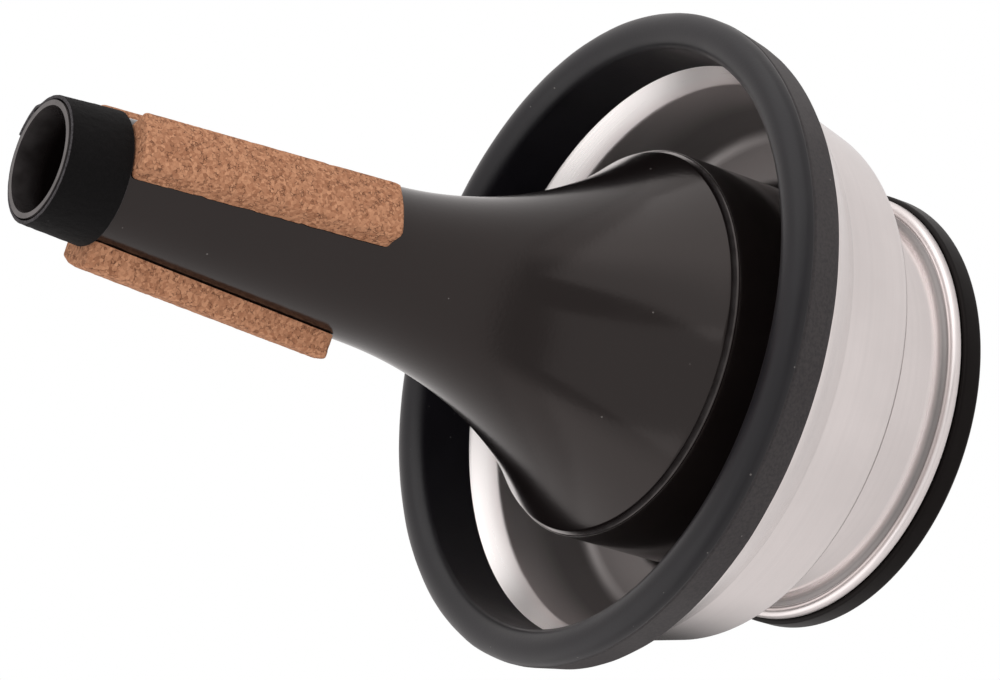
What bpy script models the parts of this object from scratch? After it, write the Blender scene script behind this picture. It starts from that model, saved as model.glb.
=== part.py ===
"""Adjustable trumpet cup mute, standing on its base with the small end up.

Frame: origin at the middle of the base's underside, +Z along the mute's axis
towards the small end. Lengths are in metres. The cup is fully back on the body.
"""
import math

import bmesh
import bpy
from mathutils import Vector

# Facets round each turned piece, and along its longer arcs
TURN_STEPS = 72
ARC_STEPS = 7

# Clearances between neighbouring pieces
SEAT_GAP = 0.00025       # pieces that are glued, pressed or resting on each other
SLIDE_GAP = 0.0001       # neck liner to the body it slides on

# Body: a moulded shell, open at the small end
BODY_LENGTH = 0.1642     # base underside to the tip of the small end
TIP_RADIUS = 0.0098      # outside of the small end
CONE_LENGTH = 0.0635     # straight part below the small end
CONE_SPREAD = 0.0042     # how much the radius grows over that straight part
FLARE_ARC_RADIUS = 0.0850  # bell-shaped sweep below the straight part
FLARE_ANGLE = 40.0       # degrees from the axis where the sweep runs out straight
BARREL_RADIUS = 0.0351   # cylinder that the cup slides on
LIP_ROUND = 0.0022       # rounded shoulder between flare and cylinder
BODY_WALL = 0.0012
TIP_WALL = 0.0009

# Base cap: flange with a spigot that plugs the body
FLANGE_RADIUS = 0.0406
FLANGE_THICKNESS = 0.0040
FLANGE_ROUND = 0.0007
SPIGOT_HEIGHT = 0.0080
SPIGOT_WALL = 0.0020
CAP_FLOOR = 0.0025

# Cup: one spun aluminium shell
CUP_WALL = 0.0007
LINER_THICKNESS = 0.0007
FOOT_RADIUS = 0.0398     # flange at the neck's lower end
FOOT_THICKNESS = 0.0016
FOOT_ROUND = 0.0013
NECK_LENGTH = 0.0165     # foot's underside to the flat underside of the shoulder
NECK_FILLET = 0.0005
SHOULDER_FILLET = 0.0015
SHOULDER_CORNER = 0.0031
BOWL_RADIUS = 0.0477     # outside of the bowl just above the shoulder's corner
BOWL_ARC_RADIUS = 0.029  # concave sweep of the bowl's wall
BOWL_HEIGHT = 0.0141     # axial length of that sweep
BAND_HEIGHT = 0.0080     # conical band between the sweep and the rim
BAND_SPREAD = 0.0043
RIM_HEIGHT = 0.0064      # straight rim that the rubber edging grips
RIM_CREASE = 0.0010      # axial length of the bend between band and rim

# Rubber edging on the cup's rim
EDGE_OUTER_THICKNESS = 0.0028  # outer leg beside the rim, at its step line
EDGE_TAPER = 0.00095           # how much thinner the outer leg is at its back edge
EDGE_INNER_THICKNESS = 0.0026
EDGE_OUTER_LEG = 0.00595       # step line to the back edge of the outer leg
EDGE_INNER_LEG = 0.0095        # rim's top to the end of the inner leg
EDGE_BEAD_HEIGHT = 0.00345     # bead in front of the step line, half an ellipse in section
EDGE_BEAD_STEPS = 13
STEP_DEPTH = 0.00015            # groove between the bead and the outer leg
STEP_HALF_WIDTH = 0.0003

# Cork strips on the cone
CORK_THICKNESS = 0.00395
CORK_WIDTH = 0.0108
CORK_LENGTH = 0.0468
CORK_CORNER = 0.0010
CORK_EDGE_ROUND = 0.0006
CORK_ANGLES = (-53.8, 56.2, 177.5)  # centre of each strip round the axis, degrees

# Felt strip wrapped round the small end
FELT_THICKNESS = 0.0006
FELT_WIDTH = 0.0108
FELT_TIP_INSET = 0.0002
FELT_OVERLAP = 28.0      # degrees
FELT_SEAM_ANGLE = 75.0   # where the upper layer ends, degrees
FELT_LAYER_GAP = 0.0001
CORK_FELT_GAP = 0.0003

# Places along the axis that several pieces share
BARREL_FOOT_Z = FLANGE_THICKNESS + SEAT_GAP
CONE_END_Z = BODY_LENGTH - CONE_LENGTH
CUP_FOOT_Z = FLANGE_THICKNESS + 0.0003
LINER_INNER_RADIUS = BARREL_RADIUS + SLIDE_GAP
NECK_INNER_RADIUS = LINER_INNER_RADIUS + LINER_THICKNESS + SEAT_GAP
NECK_RADIUS = NECK_INNER_RADIUS + CUP_WALL
SHOULDER_Z = CUP_FOOT_Z + NECK_LENGTH
BOWL_Z = SHOULDER_Z + SHOULDER_CORNER
CREASE_Z = BOWL_Z + BOWL_HEIGHT
BAND_TOP_Z = CREASE_Z + BAND_HEIGHT
RIM_Z = BAND_TOP_Z + RIM_CREASE + RIM_HEIGHT


def material(name, colour, roughness, metallic=0.0):
    """A Principled BSDF with one colour (sRGB-like values already made linear)."""
    made = bpy.data.materials.new(name)
    made.use_nodes = True
    shader = made.node_tree.nodes["Principled BSDF"]
    shader.inputs["Base Color"].default_value = (*colour, 1.0)
    shader.inputs["Roughness"].default_value = roughness
    shader.inputs["Metallic"].default_value = metallic
    return made


def arc(centre, radius, start, end, steps=ARC_STEPS):
    """Points of an arc in the (radius, height) plane; angles in degrees, 0 outwards, 90 up."""
    points = []
    for i in range(steps + 1):
        angle = math.radians(start + (end - start) * i / steps)
        points.append((centre[0] + radius * math.cos(angle), centre[1] + radius * math.sin(angle)))
    return points


def fillet(before, corner, after, radius, steps=4):
    """Rounds the corner between two straight runs of a profile."""
    a = (Vector(before) - Vector(corner)).normalized()
    b = (Vector(after) - Vector(corner)).normalized()
    half = 0.5 * a.angle(b)
    reach = min(radius / math.tan(half), 0.45 * (Vector(before) - Vector(corner)).length,
                0.45 * (Vector(after) - Vector(corner)).length)
    radius = reach * math.tan(half)
    centre = Vector(corner) + (a + b).normalized() * (radius / math.sin(half))
    start = Vector(corner) + a * reach - centre
    end = Vector(corner) + b * reach - centre
    turn = start.angle_signed(end)
    points = []
    for i in range(steps + 1):
        angle = -turn * i / steps
        x = start.x * math.cos(angle) - start.y * math.sin(angle)
        y = start.x * math.sin(angle) + start.y * math.cos(angle)
        points.append((centre.x + x, centre.y + y))
    return points


def rounded(corners, radii):
    """A closed profile from its corners, each rounded by its own radius (0 keeps it sharp)."""
    points = []
    count = len(corners)
    for i, (corner, radius) in enumerate(zip(corners, radii)):
        if radius:
            points += fillet(corners[i - 1], corner, corners[(i + 1) % count], radius)
        else:
            points.append(corner)
    return points


def turned(name, profile, made, steps=TURN_STEPS, sharp=35.0):
    """Revolves a closed (radius, height) profile about the axis; its points run clockwise,
    down the outer side and up the inner side."""
    mesh = bpy.data.meshes.new(name)
    piece = bpy.data.objects.new(name, mesh)
    bpy.context.scene.collection.objects.link(piece)
    shell = bmesh.new()
    rings = []
    for i in range(steps):
        angle = 2.0 * math.pi * i / steps
        rings.append([shell.verts.new((r * math.cos(angle), r * math.sin(angle), z)) for r, z in profile])
    count = len(profile)
    for i in range(steps):
        here, there = rings[i], rings[(i + 1) % steps]
        for j in range(count):
            k = (j + 1) % count
            shell.faces.new((here[j], here[k], there[k], there[j]))
    bmesh.ops.recalc_face_normals(shell, faces=shell.faces)
    shell.to_mesh(mesh)
    shell.free()
    finish(piece, made, sharp)
    return piece


def finish(piece, made, sharp=35.0):
    """Gives a piece its material and smooth shading with its sharp edges kept."""
    piece.data.materials.append(made)
    piece.data.shade_smooth()
    piece.data.set_sharp_from_angle(angle=math.radians(sharp))


# Body

def cone_slope():
    """Angle of the straight cone from the axis, in radians."""
    return math.atan2(CONE_SPREAD, CONE_LENGTH)


def flare_end():
    """Height where the bell-shaped sweep ends and the straight flare starts."""
    return CONE_END_Z - FLARE_ARC_RADIUS * (math.sin(math.radians(FLARE_ANGLE)) - math.sin(cone_slope()))


def body_radius(z):
    """Outside radius of the body above its lip: cone, then sweep, then straight flare."""
    if z >= CONE_END_Z:
        return TIP_RADIUS + (BODY_LENGTH - z) * CONE_SPREAD / CONE_LENGTH
    at_cone = TIP_RADIUS + CONE_SPREAD
    low = max(z, flare_end())
    sine = math.sin(cone_slope()) + (CONE_END_Z - low) / FLARE_ARC_RADIUS
    radius = at_cone + FLARE_ARC_RADIUS * (math.cos(cone_slope()) - math.sqrt(1.0 - sine * sine))
    return radius + (low - z) * math.tan(math.radians(FLARE_ANGLE))


def lip_top():
    """Height where the straight flare meets the lip's rounding, which is tangent to it."""
    lean = math.radians(FLARE_ANGLE)
    radius = BARREL_RADIUS - LIP_ROUND * (1.0 - math.cos(lean))
    return flare_end() - (radius - body_radius(flare_end())) / math.tan(lean)


def body_outside():
    """The body's outside line, from the tip down to its lower edge."""
    line = [(TIP_RADIUS, BODY_LENGTH), (body_radius(CONE_END_Z), CONE_END_Z)]
    low = flare_end()
    for i in range(1, 2 * ARC_STEPS + 1):
        z = CONE_END_Z + (low - CONE_END_Z) * i / (2 * ARC_STEPS)
        line.append((body_radius(z), z))
    centre = (BARREL_RADIUS - LIP_ROUND, lip_top() - LIP_ROUND * math.sin(math.radians(FLARE_ANGLE)))
    line += arc(centre, LIP_ROUND, FLARE_ANGLE, 0.0, 4)
    line.append((BARREL_RADIUS, BARREL_FOOT_Z))
    return line


def body_inside():
    """The body's inside line, from its lower edge up to the tip, one wall inside the other."""
    inner_barrel = BARREL_RADIUS - BODY_WALL
    lean = math.radians(FLARE_ANGLE)
    low = flare_end()
    flare = (body_radius(low) - BODY_WALL * math.cos(lean), low - BODY_WALL * math.sin(lean))
    line = [(inner_barrel, BARREL_FOOT_Z), (inner_barrel, flare[1] - (inner_barrel - flare[0]) / math.tan(lean))]
    for i in range(2 * ARC_STEPS + 1):
        z = low + (CONE_END_Z - low) * i / (2 * ARC_STEPS)
        lean = math.atan2(body_radius(z - 1e-5) - body_radius(z + 1e-5), 2e-5)
        line.append((body_radius(z) - BODY_WALL * math.cos(lean), z - BODY_WALL * math.sin(lean)))
    line.append((TIP_RADIUS - TIP_WALL, BODY_LENGTH))
    return line


def make_body(made):
    """Moulded body: cone, bell-shaped flare, rounded lip and sliding barrel."""
    return turned("body_shell", body_outside() + body_inside(), made)


def make_base(made):
    """Base cap: flange that stops the cup, and a hollow spigot inside the barrel."""
    spigot = BARREL_RADIUS - BODY_WALL - SEAT_GAP
    top = FLANGE_THICKNESS + SPIGOT_HEIGHT
    axis = 0.0008
    corners = [
        (axis, CAP_FLOOR), (spigot - SPIGOT_WALL, CAP_FLOOR), (spigot - SPIGOT_WALL, top), (spigot, top),
        (spigot, FLANGE_THICKNESS), (FLANGE_RADIUS, FLANGE_THICKNESS), (FLANGE_RADIUS, 0.0), (axis, 0.0),
    ]
    radii = [0.0, 0.001, 0.0, 0.0005, 0.0, FLANGE_ROUND, FLANGE_ROUND, 0.0]
    profile = [point for point in rounded(corners, radii) if point[0] > axis]
    return closed_disc("base_cap", profile, made, CAP_FLOOR, 0.0)


def closed_disc(name, profile, made, top_z, bottom_z):
    """Revolves a profile and closes the middle with one point above and one below."""
    mesh = bpy.data.meshes.new(name)
    piece = bpy.data.objects.new(name, mesh)
    bpy.context.scene.collection.objects.link(piece)
    shell = bmesh.new()
    upper = shell.verts.new((0.0, 0.0, top_z))
    lower = shell.verts.new((0.0, 0.0, bottom_z))
    rings = []
    for i in range(TURN_STEPS):
        angle = 2.0 * math.pi * i / TURN_STEPS
        rings.append([shell.verts.new((r * math.cos(angle), r * math.sin(angle), z)) for r, z in profile])
    for i in range(TURN_STEPS):
        here, there = rings[i], rings[(i + 1) % TURN_STEPS]
        shell.faces.new((upper, here[0], there[0]))
        shell.faces.new((lower, there[-1], here[-1]))
        for j in range(len(profile) - 1):
            shell.faces.new((here[j], here[j + 1], there[j + 1], there[j]))
    bmesh.ops.recalc_face_normals(shell, faces=shell.faces)
    shell.to_mesh(mesh)
    shell.free()
    finish(piece, made)
    return piece


# Cup

def bowl_radius(z):
    """Outside radius of the bowl between the shoulder's corner and the rim."""
    if z <= CREASE_Z:
        sine = (z - BOWL_Z) / BOWL_ARC_RADIUS
        return BOWL_RADIUS + BOWL_ARC_RADIUS * (1.0 - math.sqrt(1.0 - sine * sine))
    crease = bowl_radius(CREASE_Z)
    if z <= BAND_TOP_Z:
        return crease + (z - CREASE_Z) * BAND_SPREAD / BAND_HEIGHT
    share = min((z - BAND_TOP_Z) / RIM_CREASE, 1.0)
    slope = BAND_SPREAD / BAND_HEIGHT
    return crease + BAND_SPREAD + RIM_CREASE * slope * (share - 0.5 * share * share)


def bowl_heights():
    """Heights of the bowl's profile points, from the shoulder's corner up to the rim."""
    sweep = [BOWL_Z + BOWL_HEIGHT * i / ARC_STEPS for i in range(ARC_STEPS + 1)]
    bend = [BAND_TOP_Z + RIM_CREASE * i / 4 for i in range(5)]
    return sweep + bend + [RIM_Z]


def cup_outside():
    """The cup's outside line, from the rim down to the foot's underside."""
    line = [(bowl_radius(z), z) for z in reversed(bowl_heights())]
    corner = (BOWL_RADIUS - SHOULDER_CORNER, BOWL_Z)
    line += arc(corner, SHOULDER_CORNER, 0.0, -90.0)[1:]
    line += fillet((BOWL_RADIUS - SHOULDER_CORNER, SHOULDER_Z), (NECK_RADIUS, SHOULDER_Z),
                   (NECK_RADIUS, CUP_FOOT_Z), SHOULDER_FILLET)
    foot_top = CUP_FOOT_Z + FOOT_THICKNESS
    line += fillet((NECK_RADIUS, SHOULDER_Z), (NECK_RADIUS, foot_top), (FOOT_RADIUS, foot_top), NECK_FILLET)
    line += arc((FOOT_RADIUS - FOOT_ROUND, foot_top - FOOT_ROUND), FOOT_ROUND, 90.0, 0.0, 5)
    line.append((FOOT_RADIUS, CUP_FOOT_Z))
    return line


def cup_inside():
    """The cup's inside line, from the neck's lower edge up to the rim."""
    neck_top = SHOULDER_Z + CUP_WALL
    line = [(NECK_INNER_RADIUS, CUP_FOOT_Z)]
    line += fillet((NECK_INNER_RADIUS, CUP_FOOT_Z), (NECK_INNER_RADIUS, neck_top),
                   (BOWL_RADIUS - SHOULDER_CORNER, neck_top), SHOULDER_FILLET + CUP_WALL)
    corner = (BOWL_RADIUS - SHOULDER_CORNER, BOWL_Z)
    line += arc(corner, SHOULDER_CORNER - CUP_WALL, -90.0, 0.0)
    line += [(inner_bowl_radius(z), z) for z in bowl_heights()[1:]]
    return line


def inner_bowl_radius(z):
    """Inside radius of the bowl at a height: the wall's thickness square to its slope."""
    lean = math.atan2(bowl_radius(z + 1e-5) - bowl_radius(z - 1e-5), 2e-5)
    return bowl_radius(z) - CUP_WALL / math.cos(lean)


def make_cup(made):
    """Spun aluminium cup: foot, neck, shoulder, flaring bowl and straight rim."""
    return turned("cup_shell", cup_outside() + cup_inside(), made, sharp=28.0)


def edge_bead(inner, outer, foot_z, front_z):
    """The bead's half ellipse, from its inner foot over the front to its outer foot."""
    points = []
    for i in range(EDGE_BEAD_STEPS + 1):
        angle = math.pi * i / EDGE_BEAD_STEPS
        radius = 0.5 * (inner + outer) - 0.5 * (outer - inner) * math.cos(angle)
        points.append((radius, foot_z + (front_z - foot_z) * math.sin(angle)))
    return points


def edge_corners():
    """Corners of the rubber edging's section, and the rounding of each.

    They run over the bead, down the outer leg, round its back edge, up into the slot over
    the metal rim, down the inner leg and up its inner face to the bead.
    """
    rim = bowl_radius(RIM_Z)
    outer = rim + EDGE_OUTER_THICKNESS + SEAT_GAP
    step_z = RIM_Z + 0.0002
    back_z = step_z - EDGE_OUTER_LEG
    inner_end_z = RIM_Z - EDGE_INNER_LEG
    inner = inner_bowl_radius(RIM_Z) - SEAT_GAP - EDGE_INNER_THICKNESS
    slot_top = RIM_Z + SEAT_GAP
    corners = edge_bead(inner, outer, step_z + STEP_HALF_WIDTH, step_z + EDGE_BEAD_HEIGHT)
    radii = [0.0] * len(corners)
    corners += [
        (outer - STEP_DEPTH, step_z), (outer, step_z - STEP_HALF_WIDTH),
        (outer - EDGE_TAPER, back_z), (rim + SEAT_GAP, back_z), (rim + SEAT_GAP, slot_top),
        (inner_bowl_radius(RIM_Z) - SEAT_GAP, slot_top),
    ]
    radii += [0.0, 0.0, 0.0003, 0.0, 0.0, 0.0]
    for z in reversed([z for z in bowl_heights() if inner_end_z + 0.0003 < z < RIM_Z]):
        corners.append((inner_bowl_radius(z) - SEAT_GAP, z))
        radii.append(0.0)
    tip = inner_bowl_radius(inner_end_z) - SEAT_GAP
    corners += [(tip, inner_end_z), (min(inner, tip - 0.0005), inner_end_z + 0.0002)]
    radii += [0.0, 0.0]
    return corners, radii


def make_edging(made):
    """U-shaped rubber edging with a bead in front, pushed over the cup's rim."""
    return turned("rim_rubber", rounded(*edge_corners()), made, sharp=25.0)


def make_liner(made):
    """Felt liner glued in the neck: it grips the barrel and holds the cup where it is put."""
    low = CUP_FOOT_Z + 0.001
    high = SHOULDER_Z - SHOULDER_FILLET
    inner = LINER_INNER_RADIUS
    outer = LINER_INNER_RADIUS + LINER_THICKNESS
    return turned("neck_liner", [(outer, high), (outer, low), (inner, low), (inner, high)], made)


# Corks and felt

def felt_foot():
    """Height of the felt strip's lower edge."""
    return BODY_LENGTH - FELT_TIP_INSET - FELT_WIDTH


def make_cork(index, angle, made):
    """One cork strip: a rounded slab bent round the cone, glued on with its back to it."""
    top = felt_foot() - CORK_FELT_GAP
    slab = bmesh.new()
    bmesh.ops.create_cube(slab, size=1.0)
    bmesh.ops.scale(slab, vec=(CORK_WIDTH, CORK_THICKNESS, CORK_LENGTH), verts=slab.verts)
    bmesh.ops.translate(slab, vec=(0.0, 0.5 * CORK_THICKNESS, top - 0.5 * CORK_LENGTH), verts=slab.verts)
    ends = [e for e in slab.edges if abs(e.verts[0].co.y - e.verts[1].co.y) > 0.5 * CORK_THICKNESS]
    bmesh.ops.bevel(slab, geom=ends, offset=CORK_CORNER, segments=4, profile=0.5, affect="EDGES")
    outer = [e for e in slab.edges if min(v.co.y for v in e.verts) > CORK_THICKNESS - 1e-6]
    bmesh.ops.bevel(slab, geom=outer, offset=CORK_EDGE_ROUND, segments=2, profile=0.5, affect="EDGES")
    for cut in range(1, 6):
        place = Vector(((cut / 6.0 - 0.5) * CORK_WIDTH, 0.0, 0.0))
        bmesh.ops.bisect_plane(slab, geom=slab.verts[:] + slab.edges[:] + slab.faces[:], plane_co=place,
                               plane_no=(1.0, 0.0, 0.0))
    for cut in range(1, 8):
        place = Vector((0.0, 0.0, top - CORK_LENGTH * cut / 8.0))
        bmesh.ops.bisect_plane(slab, geom=slab.verts[:] + slab.edges[:] + slab.faces[:], plane_co=place,
                               plane_no=(0.0, 0.0, 1.0))
    for vert in slab.verts:
        radius = body_radius(vert.co.z) + SEAT_GAP + vert.co.y
        turn = math.radians(angle) + vert.co.x / radius
        vert.co = Vector((radius * math.cos(turn), radius * math.sin(turn), vert.co.z))
    bmesh.ops.triangulate(slab, faces=slab.faces)
    bmesh.ops.recalc_face_normals(slab, faces=slab.faces)
    mesh = bpy.data.meshes.new(f"cork_strip_{index}")
    slab.to_mesh(mesh)
    slab.free()
    piece = bpy.data.objects.new(f"cork_strip_{index}", mesh)
    bpy.context.scene.collection.objects.link(piece)
    finish(piece, made, 30.0)
    return piece


def felt_lift(turn):
    """How far the strip's inner face stands off the body after a turn, in degrees, from its inner end."""
    if turn <= 360.0 - FELT_OVERLAP * 0.5:
        return 0.0
    climb = min((turn - (360.0 - FELT_OVERLAP * 0.5)) / (FELT_OVERLAP * 0.5), 1.0)
    smooth = climb * climb * (3.0 - 2.0 * climb)
    return smooth * (FELT_THICKNESS + FELT_LAYER_GAP)


def make_felt(made):
    """Felt strip wrapped once round the small end, with its outer end lapped over the inner."""
    high = BODY_LENGTH - FELT_TIP_INSET
    low = felt_foot()
    total = 360.0 + FELT_OVERLAP
    start = FELT_SEAM_ANGLE - total
    steps = TURN_STEPS
    strip = bmesh.new()
    rings = []
    for i in range(steps + 1):
        turn = total * i / steps
        angle = math.radians(start + turn)
        lift = felt_lift(turn) + SEAT_GAP
        ring = []
        for z, out in ((high, 1.0), (low, 1.0), (low, 0.0), (high, 0.0)):
            radius = body_radius(z) + lift + out * FELT_THICKNESS
            ring.append(strip.verts.new((radius * math.cos(angle), radius * math.sin(angle), z)))
        rings.append(ring)
    for i in range(steps):
        here, there = rings[i], rings[i + 1]
        for j in range(4):
            k = (j + 1) % 4
            strip.faces.new((here[j], here[k], there[k], there[j]))
    strip.faces.new(rings[0][::-1])
    strip.faces.new(rings[-1])
    bmesh.ops.recalc_face_normals(strip, faces=strip.faces)
    mesh = bpy.data.meshes.new("felt_collar")
    strip.to_mesh(mesh)
    strip.free()
    piece = bpy.data.objects.new("felt_collar", mesh)
    bpy.context.scene.collection.objects.link(piece)
    finish(piece, made)
    return piece


def main():
    """Builds the mute with its cup fully back."""
    for item in list(bpy.data.objects):
        bpy.data.objects.remove(item, do_unlink=True)
    plastic = material("black_plastic", (0.022, 0.018, 0.018), 0.28)
    aluminium = material("spun_aluminium", (0.80, 0.79, 0.78), 0.25, 1.0)
    rubber = material("black_rubber", (0.030, 0.028, 0.030), 0.6)
    cork = material("cork", (0.48, 0.25, 0.14), 0.85)
    felt = material("black_felt", (0.008, 0.008, 0.009), 0.95)
    make_body(plastic)
    make_base(plastic)
    make_cup(aluminium)
    make_edging(rubber)
    make_liner(felt)
    for index, angle in enumerate(CORK_ANGLES, start=1):
        make_cork(index, angle, cork)
    make_felt(felt)


main()
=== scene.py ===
"""The looks of an adjustable trumpet cup mute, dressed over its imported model.

Frame: metres, the base's underside in the plane z = 0 and the mute's axis along +Z,
with the small end up. Every turned piece is drawn finely over the CAD node that it
replaces, from the same sizes.
"""

import logging
import math
from dataclasses import dataclass, field
from enum import Enum
from typing import Callable, Optional, Sequence, Union

import bpy
import numpy as np
from mathutils import Matrix, Vector


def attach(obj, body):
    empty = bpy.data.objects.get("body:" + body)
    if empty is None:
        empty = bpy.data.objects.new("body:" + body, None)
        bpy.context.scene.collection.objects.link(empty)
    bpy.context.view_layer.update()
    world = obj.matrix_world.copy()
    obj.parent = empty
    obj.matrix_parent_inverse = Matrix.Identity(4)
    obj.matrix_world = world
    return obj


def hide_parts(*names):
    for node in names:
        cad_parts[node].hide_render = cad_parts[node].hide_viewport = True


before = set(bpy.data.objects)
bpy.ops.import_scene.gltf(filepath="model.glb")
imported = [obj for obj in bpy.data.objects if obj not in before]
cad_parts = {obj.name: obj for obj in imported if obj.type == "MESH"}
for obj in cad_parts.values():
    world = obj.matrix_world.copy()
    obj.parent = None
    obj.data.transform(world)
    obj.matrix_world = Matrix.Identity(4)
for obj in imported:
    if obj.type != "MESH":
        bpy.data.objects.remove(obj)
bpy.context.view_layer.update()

LOG = logging.getLogger("cup_mute")
MM = 0.001

Profile = np.ndarray
Feed = Union[bpy.types.NodeSocket, float, Sequence[float]]


class Carrier(str, Enum):
    """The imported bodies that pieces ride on."""

    BODY = "mute_body"
    LINER = "liner"
    CUP = "cup"


class Slot(str, Enum):
    """The record's material slots."""

    PLASTIC = "black_plastic"
    ALUMINIUM = "spun_aluminium"
    RUBBER = "black_rubber"
    CORK = "cork"
    FELT = "black_felt"


# Node trees


class NodeSheet:
    """Lays nodes into one tree and joins their sockets."""

    def __init__(self, tree: bpy.types.NodeTree) -> None:
        """Keeps the tree that is worked on.

        Args:
            tree: a material's, world's or group's node tree.
        """
        self.tree = tree
        self.column = 0

    def add(self, kind: str, **settings: object) -> bpy.types.Node:
        """Adds one node.

        Args:
            kind: the node's Blender type name.
            settings: attributes to set on it.

        Returns:
            The new node.
        """
        node = self.tree.nodes.new(kind)
        node.location = (self.column * 40.0, -30.0 * (self.column % 7))
        self.column += 1
        for key, value in settings.items():
            setattr(node, key, value)
        return node

    def feed(self, socket: bpy.types.NodeSocket, value: Feed) -> None:
        """Joins a socket to another one, or sets its constant.

        Args:
            socket: the input that is fed.
            value: an output socket, a number or a sequence of numbers.
        """
        if isinstance(value, bpy.types.NodeSocket):
            self.tree.links.new(value, socket)
        elif isinstance(value, (int, float)):
            socket.default_value = float(value)
        else:
            socket.default_value = tuple(value)

    def math(self, operation: str, first: Feed, second: Feed = 0.0, third: Feed = 0.0,
             clamp: bool = False) -> bpy.types.NodeSocket:
        """Adds a Math node and returns its result.

        Args:
            operation: the node's operation.
            first: its first value.
            second: its second value.
            third: its third value.
            clamp: whether the result stays within 0 and 1.

        Returns:
            The result's socket.
        """
        node = self.add("ShaderNodeMath", operation=operation, use_clamp=clamp)
        self.feed(node.inputs[0], first)
        self.feed(node.inputs[1], second)
        if len(node.inputs) > 2:
            self.feed(node.inputs[2], third)
        return node.outputs[0]

    def remap(self, value: Feed, low: float, high: float, out_low: float, out_high: float,
              smooth: bool = False) -> bpy.types.NodeSocket:
        """Maps a range of values to another, clamped at both ends.

        Args:
            value: the value that is mapped.
            low: where the range starts.
            high: where it ends.
            out_low: the result at its start.
            out_high: the result at its end.
            smooth: whether the result eases in and out.

        Returns:
            The result's socket.
        """
        node = self.add("ShaderNodeMapRange", interpolation_type="SMOOTHSTEP" if smooth else "LINEAR")
        self.feed(node.inputs["Value"], value)
        for name, number in (("From Min", low), ("From Max", high), ("To Min", out_low), ("To Max", out_high)):
            node.inputs[name].default_value = number
        return node.outputs["Result"]

    def blend(self, factor: Feed, first: Feed, second: Feed, mode: str = "MIX") -> bpy.types.NodeSocket:
        """Mixes two colours.

        Args:
            factor: how much of the second shows.
            first: the first colour.
            second: the second colour.
            mode: the mixing mode.

        Returns:
            The mixed colour's socket.
        """
        node = self.add("ShaderNodeMix", data_type="RGBA", blend_type=mode)
        self.feed(node.inputs["Factor"], factor)
        colours = [socket for socket in node.inputs if socket.type == "RGBA"]
        self.feed(colours[0], first)
        self.feed(colours[1], second)
        return [socket for socket in node.outputs if socket.type == "RGBA"][0]

    def noise(self, vector: Feed, scale: float, detail: float = 2.0, rough: float = 0.5) -> bpy.types.NodeSocket:
        """Adds a noise texture and returns its value, centred on one half.

        Args:
            vector: where it is read.
            scale: how fine it is.
            detail: how many finer layers it has.
            rough: how strong the finer layers are.

        Returns:
            The noise's value socket.
        """
        node = self.add("ShaderNodeTexNoise")
        self.feed(node.inputs["Vector"], vector)
        node.inputs["Scale"].default_value = scale
        node.inputs["Detail"].default_value = detail
        node.inputs["Roughness"].default_value = rough
        return node.outputs[0]

    def bump(self, height: Feed, distance: float, strength: float = 1.0,
             normal: Optional[Feed] = None) -> bpy.types.NodeSocket:
        """Adds a Bump node over a height.

        Args:
            height: the height's socket.
            distance: how many metres a height of 1 stands for.
            strength: how much of the bump shows.
            normal: a normal that the bump is laid over.

        Returns:
            The normal's socket.
        """
        node = self.add("ShaderNodeBump")
        node.inputs["Strength"].default_value = strength
        node.inputs["Distance"].default_value = distance
        self.feed(node.inputs["Height"], height)
        if normal is not None:
            self.feed(node.inputs["Normal"], normal)
        return node.outputs["Normal"]


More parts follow.
